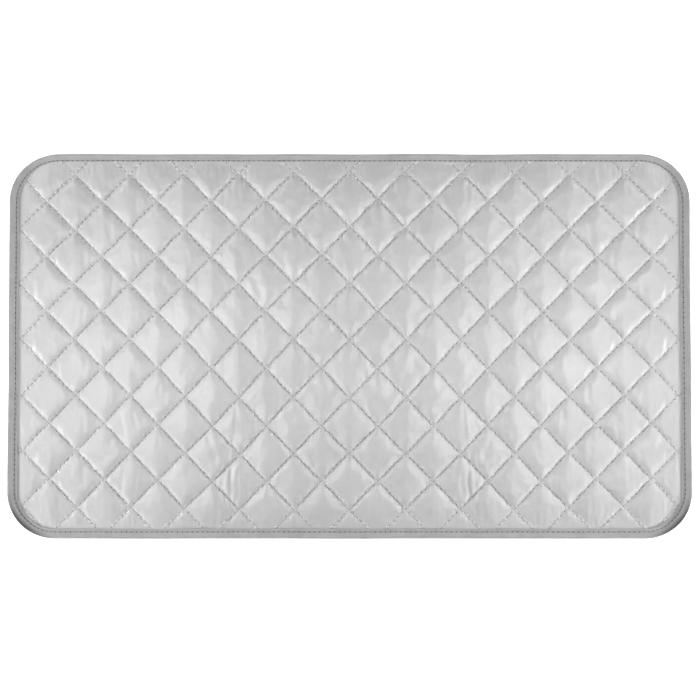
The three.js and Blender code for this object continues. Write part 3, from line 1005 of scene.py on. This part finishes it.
@dataclass
class EdgeBinding:
    """The tape folded round the edge. It is fullest at the fold and drawn in by its stitches,
    and beyond them its cut edge stands up a little as a lip."""

    plan: PadPlan
    thickness: float = 0.55
    fold_height: float = 4.9
    end_lift: float = 3.2
    corner_lift: float = 2.0
    fold_reach: float = 0.9
    seam_height: float = 3.9
    lip_rise: float = 0.7
    back_leg: float = 12.0
    seam_inset: float = 8.5
    stitches: int = 406
    per_stitch: int = 4
    back_steps: int = 4
    fold_steps: int = 8
    face_steps: int = 11
    dip: float = 0.22
    dip_change: float = 0.1
    dip_width: float = 0.8
    lip_zone: tuple[float, float] = (0.6, 3.5)
    end_zone: tuple[float, float] = (0.3, 0.95)
    # The reach and the falloff of the painted shade on the tape's outer half at the near corners.
    corner_shade_zone: tuple[float, float] = (1.0, 8.0)
    corner_shade_power: float = 1.5
    fullness: Unevenness = Unevenness(0.05, 60.0, 22)
    leg_waves: Unevenness = Unevenness(0.4, 90.0, 21)
    ripples: Unevenness = Unevenness(0.12, 26.0, 23)
    wobble: Unevenness = Unevenness(0.35, 130.0, 24)

    def near_corner(self, edge: dict[str, np.ndarray]) -> np.ndarray:
        """Twice the product of the two ways out: 1 halfway round a near corner, 0 on straights."""
        return np.clip(-2 * np.abs(edge["out_x"]) * edge["out_y"], 0.0, 1.0)

    def middle_line(self, edge: dict[str, np.ndarray]) -> tuple[np.ndarray, np.ndarray]:
        """The middle of the tape's thickness, from the inner edge of the back leg round the
        fold to the inner edge of the face leg. The fold is half an ellipse, higher at the two
        ends of the pad and highest at the near corners, where the edge curls up. The face leg
        falls from it to the stitches in a half cosine, dips in a bell curve under each of
        them and rises again to the lip.

        Args:
            edge: places round the outer edge.

        Returns:
            For each place and profile step, the inset from the outer edge and the height.
        """
        half = low = self.thickness / 2
        spot = edge["x"][:, None], edge["y"][:, None]
        lift = self.end_lift * smoothstep(*self.end_zone, np.abs(edge["out_x"][:, None])) \
            + self.corner_lift * self.near_corner(edge)[:, None]
        radius = (self.fold_height + lift - self.thickness) / 2
        rows = np.ones_like(spot[0])
        turn = np.linspace(-np.pi / 2, np.pi / 2, self.fold_steps)
        back = np.linspace(self.back_leg, self.fold_reach + half, self.back_steps, endpoint=False)
        fuller = 1 + self.fullness.at(*spot)
        inset_fold = half + self.fold_reach * (1 - np.cos(turn)) * rows
        height_fold = low + radius * (1 + np.sin(turn)) * fuller
        start = inset_fold[:, -1:]
        leg = self.plan.tape_reach(edge["out_y"][:, None]) + self.leg_waves.at(*spot)
        inset_face = start + (leg - start) * np.linspace(0.0, 1.0, self.face_steps + 1)[1:]
        gone = np.clip((inset_face - start) / (self.seam_inset - start), 0.0, 1.0)
        top = height_fold[:, -1:]
        fall = (top - (self.seam_height - half)) * (0.5 - 0.5 * np.cos(np.pi * gone))
        phase = 2 * np.pi * edge["along"][:, None] * self.stitches / self.plan.edge_length()
        beyond = inset_face - self.seam_inset
        dip = (self.dip + self.dip_change * np.cos(phase)) * np.exp(-(beyond / self.dip_width) ** 2)
        lip = self.lip_rise * smoothstep(*self.lip_zone, beyond)
        ripple = self.ripples.at(*spot) * gone
        height_face = top - fall - dip + lip + ripple
        inset = np.concatenate([back * rows, inset_fold, inset_face], axis=1)
        height = np.concatenate([low * np.ones(back.shape) * rows, height_fold, height_face],
                                axis=1)
        return inset, height

    def tape(self) -> Object:
        """The tape: its middle line carried round the edge, with half the thickness put on
        along each side's normal, and both sides joined at the two inner edges.

        Returns:
            The piece.
        """
        edge = self.plan.edge(self.stitches * self.per_stitch)
        inset, height = self.middle_line(edge)
        along = np.gradient(inset, axis=1), np.gradient(height, axis=1)
        size = np.hypot(*along)
        half = self.thickness / 2
        # The profile runs back, round the fold and over the face, so outside is on its right.
        side = along[1] / size * half, -along[0] / size * half
        rings = [(inset - side[0], height - side[1]), ((inset + side[0])[:, ::-1],
                                                       (height + side[1])[:, ::-1])]
        inset_ring = np.concatenate([rings[0][0], rings[1][0]], axis=1)
        height_ring = np.concatenate([rings[0][1], rings[1][1]], axis=1)
        out = self.wobble.at(edge["x"], edge["y"])[:, None] - inset_ring
        x = edge["x"][:, None] + edge["out_x"][:, None] * out
        y = edge["y"][:, None] + edge["out_y"][:, None] * out
        points = np.stack([x, y, height_ring], axis=-1)
        count, around = x.shape
        here = np.arange(count * around).reshape(count, around)
        ahead = np.roll(here, -1, axis=0)
        faces = np.stack([here, np.roll(here, -1, axis=1), np.roll(ahead, -1, axis=1), ahead],
                         axis=-1).reshape(-1, 4)
        across = np.concatenate([np.zeros((count, 1)), np.cumsum(
            np.hypot(np.diff(inset_ring, axis=1), np.diff(height_ring, axis=1)), axis=1)],
            axis=1)
        run = np.broadcast_to(edge["along"][:, None], x.shape)
        uv = np.stack([run, across], axis=-1)
        seam = np.stack([run * self.stitches / self.plan.edge_length(),
                         inset_ring - self.seam_inset], axis=-1)
        piece = make_piece("edge_binding_tape", points.reshape(-1, 3), faces,
                           {"cloth": uv.reshape(-1, 2), "seam": seam.reshape(-1, 2)})
        # The last faces lead back to the first ring, where both maps run on and not back.
        for name, whole in (("cloth", self.plan.edge_length()), ("seam", self.stitches)):
            places = np.empty(len(faces) * 8, np.float32)
            piece.data.uv_layers[name].uv.foreach_get("vector", places)
            places.reshape(-1, 4, 2)[-around:, 2:, 0] += whole
            piece.data.uv_layers[name].uv.foreach_set("vector", places)
        # Painted shade: a mask that darkens the tape, 1 at its outer edge halfway round a near corner
        # and 0 further in.
        corner = self.near_corner(edge) ** self.corner_shade_power
        curl = corner[:, None] * (1 - smoothstep(*self.corner_shade_zone, inset_ring))
        piece.data.attributes.new("curl", "FLOAT", "POINT").data.foreach_set(
            "value", curl.ravel())
        piece.data.materials.append(RibbedTape(self.plan.edge_length() / self.stitches).material())
        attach(piece, BODY)
        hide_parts("edge_binding")
        return piece


@dataclass
class Stitching:
    """Rows of lockstitches. Each stitch is a strand that comes up at one needle hole, lies on
    the cloth and goes down at the next."""

    plan: PadPlan
    strand: float = 0.55
    taper: tuple[float, ...] = (0.45, 0.9, 1.0, 1.0, 0.9, 0.45)
    sides: int = 6
    arch: float = 0.75
    sunk: float = 0.5
    under_tape: float = 2.5
    sunk_in_tape: float = 0.2
    back_row_z: float = 0.3
    quilting_thread: SpunThread = SpunThread("silver_thread", "D2D2D2", "AEAEAE")
    binding_thread: SpunThread = SpunThread("grey_thread", "848484", "626262")

    def strands(self, name: str, start: np.ndarray, end: np.ndarray, side: Side,
                thread: SpunThread) -> Object:
        """Strands between pairs of points. The middle line goes straight from start to end and
        arches off the cloth with the root of a sine, the strand tapers at its ends, and a
        ring of points stands round the line at each step.

        Args:
            name: the piece's name.
            start: n by 3 places of the first holes.
            end: n by 3 places of the second holes.
            side: the side of the pad that the stitches show on.
            thread: the thread that they are sewn with.

        Returns:
            The piece.
        """
        share = np.linspace(0.0, 1.0, len(self.taper))
        arch = np.sin(np.pi * share) ** 0.5
        thick = self.strand / 2 * np.array(self.taper)
        line = start[:, None] + (end - start)[:, None] * share[None, :, None]
        line[..., 2] += side.value * (arch * self.strand * self.arch - self.strand * self.sunk)
        way = end - start
        way = way / np.linalg.norm(way, axis=1, keepdims=True)
        across = np.stack([-way[:, 1], way[:, 0], np.zeros(len(way))], axis=1)
        across /= np.linalg.norm(across, axis=1, keepdims=True)
        up = np.cross(way, across)
        turn = np.arange(self.sides) * 2 * np.pi / self.sides
        ring = (np.cos(turn)[None, :, None] * across[:, None]
                + np.sin(turn)[None, :, None] * up[:, None])
        points = line[:, :, None] + ring[:, None] * thick[None, :, None, None]
        number = np.arange(points[..., 0].size).reshape(points.shape[:3])
        beside = np.roll(number, -1, axis=2)
        walls = np.stack([number[:, :-1], beside[:, :-1], beside[:, 1:], number[:, 1:]], axis=-1)
        # Two quads close each end of the six-sided strand.
        first, last = number[:, 0], number[:, -1]
        caps = [last[:, [0, 1, 2, 3]], last[:, [0, 3, 4, 5]],
                first[:, [3, 2, 1, 0]], first[:, [5, 4, 3, 0]]]
        faces = np.concatenate([walls.reshape(-1, 4), *caps])
        length = np.linalg.norm(end - start, axis=1)
        along = np.broadcast_to((share[None] * length[:, None])[..., None], number.shape)
        around = np.broadcast_to(turn * self.strand / 2, number.shape)
        uv = np.stack([along, around], axis=-1).reshape(-1, 2)
        piece = make_piece(name, points.reshape(-1, 3), faces, {"cloth": uv})
        piece.data.materials.append(thread.material())
        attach(piece, BODY)
        return piece

    def seam_ends(self, slope: Slope, number: int, side: Side) -> tuple[np.ndarray, np.ndarray]:
        """The needle holes of one seam that lie inside the tape, as pairs of neighbours.

        Args:
            slope: the set that the seam belongs to.
            number: the seam's coordinate.
            side: the side of the pad that the stitches show on.

        Returns:
            n by 3 first holes and n by 3 second holes.
        """
        reach = self.plan.seams_each_way * self.plan.stitches_per_diamond
        holes = np.arange(-reach, reach + 1) / self.plan.stitches_per_diamond
        own = np.full_like(holes, float(number))
        x, y = self.plan.place(*((own, holes) if slope is Slope.RISING else (holes, own)))
        z = np.full_like(x, self.plan.face_seam_z if side is Side.FACE
                         else self.plan.back_seam_z)
        points = np.stack([x, y, z], axis=1)
        depth = self.plan.outward(x, y)[0]
        shown = np.minimum(depth[:-1], depth[1:]) > self.plan.far_tape_width - self.under_tape
        return points[:-1][shown], points[1:][shown]

    def quilting(self) -> list[Object]:
        """The quilting stitches: one piece for each needle thread on the face, named as its
        node is, and one piece for each set of bobbin threads on the back.

        Returns:
            The pieces.
        """
        made = []
        for slope in Slope:
            nodes = sorted(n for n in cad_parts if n.startswith(f"quilt_thread_{slope.value}"))
            reach = self.plan.seams_each_way
            numbers = [n for n in range(-reach, reach + 1)
                       if len(self.seam_ends(slope, n, Side.FACE)[0])]
            if slope is Slope.RISING:
                numbers.reverse()
            if len(numbers) != len(nodes):
                raise ValueError(f"{len(numbers)} {slope.value} seams for {len(nodes)} nodes")
            for number, node in zip(numbers, nodes):
                start, end = self.seam_ends(slope, number, Side.FACE)
                piece = self.strands(node.replace("thread", "stitches"), start, end, Side.FACE,
                                     self.quilting_thread)
                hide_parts(node)
                made.append(piece)
            ends = [self.seam_ends(slope, n, Side.BACK) for n in numbers]
            start, end = (np.concatenate([pair[k] for pair in ends]) for k in (0, 1))
            made.append(self.strands(f"bobbin_stitches_{slope.value}", start, end, Side.BACK,
                                     self.quilting_thread))
        return made

    def binding(self, tape: EdgeBinding) -> list[Object]:
        """The binding's stitches: a row round the face leg, and its bobbin row under the back
        leg.

        Args:
            tape: the binding that they are sewn through.

        Returns:
            The two pieces.
        """
        edge = self.plan.edge(tape.stitches)
        x = edge["x"] - edge["out_x"] * tape.seam_inset
        y = edge["y"] - edge["out_y"] * tape.seam_inset
        made = []
        face_z = tape.seam_height - self.sunk_in_tape
        for name, side, z in (("binding_stitches_face", Side.FACE, face_z),
                              ("binding_stitches_back", Side.BACK, self.back_row_z)):
            holes = np.stack([x, y, np.full_like(x, z)], axis=1)
            made.append(self.strands(name, holes, np.roll(holes, -1, axis=0), side,
                                     self.binding_thread))
        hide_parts("binding_thread")
        return made


@dataclass(frozen=True)
class Softbox:
    """A pair of square soft lights, mirrored on the middle of the pad and aimed at it. Its
    place and side are in metres."""

    name: str
    place: tuple[float, float, float]
    watts: float
    side: float = 0.28


@dataclass
class Studio:
    """A white floor, soft lights beyond the ends, over each half and at the corners of the
    pad, and a camera that looks almost straight down."""

    lens: float = 85.0
    sensor: float = 36.0
    frame_width: float = 872.0
    aim: tuple[float, float, float] = (0.4, -5.6, 4.0)
    tilt_degrees: float = 2.4
    sky: float = 0.158
    room: float = 6000.0
    floor_z: float = -0.4
    softboxes: tuple[Softbox, ...] = (
        Softbox("end", (1.4, -0.2, 0.36), 8.4),
        Softbox("over_half", (0.35, 0.0, 0.46), 0.88),
        Softbox("near_corner", (0.8, -0.8, 0.5), 2.8),
        Softbox("far_corner", (0.8, 0.8, 0.6), 2.7),
    )

    def floor(self) -> None:
        """A wide plain floor and walls far off, in white paper that shines a little."""
        corners = np.array([[-1, -1], [1, -1], [1, 1], [-1, 1]]) * self.room
        points = np.column_stack([corners, np.full(4, self.floor_z)])
        piece = make_piece("floor", points, np.array([[0, 1, 2, 3]]))
        material = new_material("white_paper", {
            "Base Color": linear("F4F4F4"), "Roughness": 0.9,
            "Emission Color": (1.0, 1.0, 1.0, 1.0), "Emission Strength": 0.9})
        piece.data.materials.append(material)
        wall = np.vstack([points, points + np.array([0.0, 0.0, self.room])])
        ring = np.array([[k, (k + 1) % 4, (k + 1) % 4 + 4, k + 4] for k in range(4)])
        backdrop = make_piece("backdrop", wall, ring)
        backdrop.data.materials.append(material)
        # Only the camera sees the walls, so that they throw no light of their own on the pad.
        backdrop.visible_diffuse = backdrop.visible_glossy = backdrop.visible_shadow = False

    def lights(self) -> None:
        """Puts up each softbox and its mirror image, and the light of the room."""
        for box in self.softboxes:
            for name, way in (("left", -1), ("right", 1)):
                lamp = bpy.data.lights.new(f"{name}_{box.name}", "AREA")
                lamp.shape = "SQUARE"
                lamp.size = box.side
                lamp.energy = box.watts
                light = bpy.data.objects.new(lamp.name, lamp)
                light.location = Vector((way * box.place[0], *box.place[1:]))
                light.rotation_euler = (-light.location).to_track_quat("-Z", "Y").to_euler()
                light.visible_camera = False
                bpy.context.scene.collection.objects.link(light)
        world = bpy.data.worlds.new("room")
        world.use_nodes = True
        world.node_tree.nodes["Background"].inputs["Color"].default_value = (1, 1, 1, 1)
        world.node_tree.nodes["Background"].inputs["Strength"].default_value = self.sky
        bpy.context.scene.world = world

    def camera(self) -> None:
        """Looks down on the pad from the distance at which it fills the photo's frame."""
        distance = self.frame_width * self.lens / self.sensor
        tilt = math.radians(self.tilt_degrees)
        data = bpy.data.cameras.new("camera")
        data.lens, data.sensor_width = self.lens, self.sensor
        data.clip_start, data.clip_end = 0.05, 100.0
        camera = bpy.data.objects.new("camera", data)
        back = Vector((0.0, -math.sin(tilt), math.cos(tilt)))
        camera.location = (Vector(self.aim) + back * distance) * MM
        camera.rotation_euler = (tilt, 0.0, 0.0)
        bpy.context.scene.collection.objects.link(camera)
        bpy.context.scene.camera = camera

    def set_up(self) -> None:
        """Builds the whole studio, with colours shown as they are lit."""
        bpy.context.scene.view_settings.view_transform = "Standard"
        self.floor()
        self.lights()
        self.camera()


def main() -> None:
    """Builds the pad's pieces in order, from the inside out, and then the studio."""
    logging.basicConfig(level=logging.INFO, format="%(message)s")
    plan = PadPlan()
    cloths = QuiltedCloths(plan)
    tape = EdgeBinding(plan)
    stitching = Stitching(plan)
    pieces = [cloths.wadding(), cloths.backing(), cloths.face(), tape.tape()]
    pieces += stitching.quilting() + stitching.binding(tape)
    Studio().set_up()
    for piece in pieces:
        LOG.info("%s: %d faces", piece.name, len(piece.data.polygons))


if __name__ == "__main__":
    main()
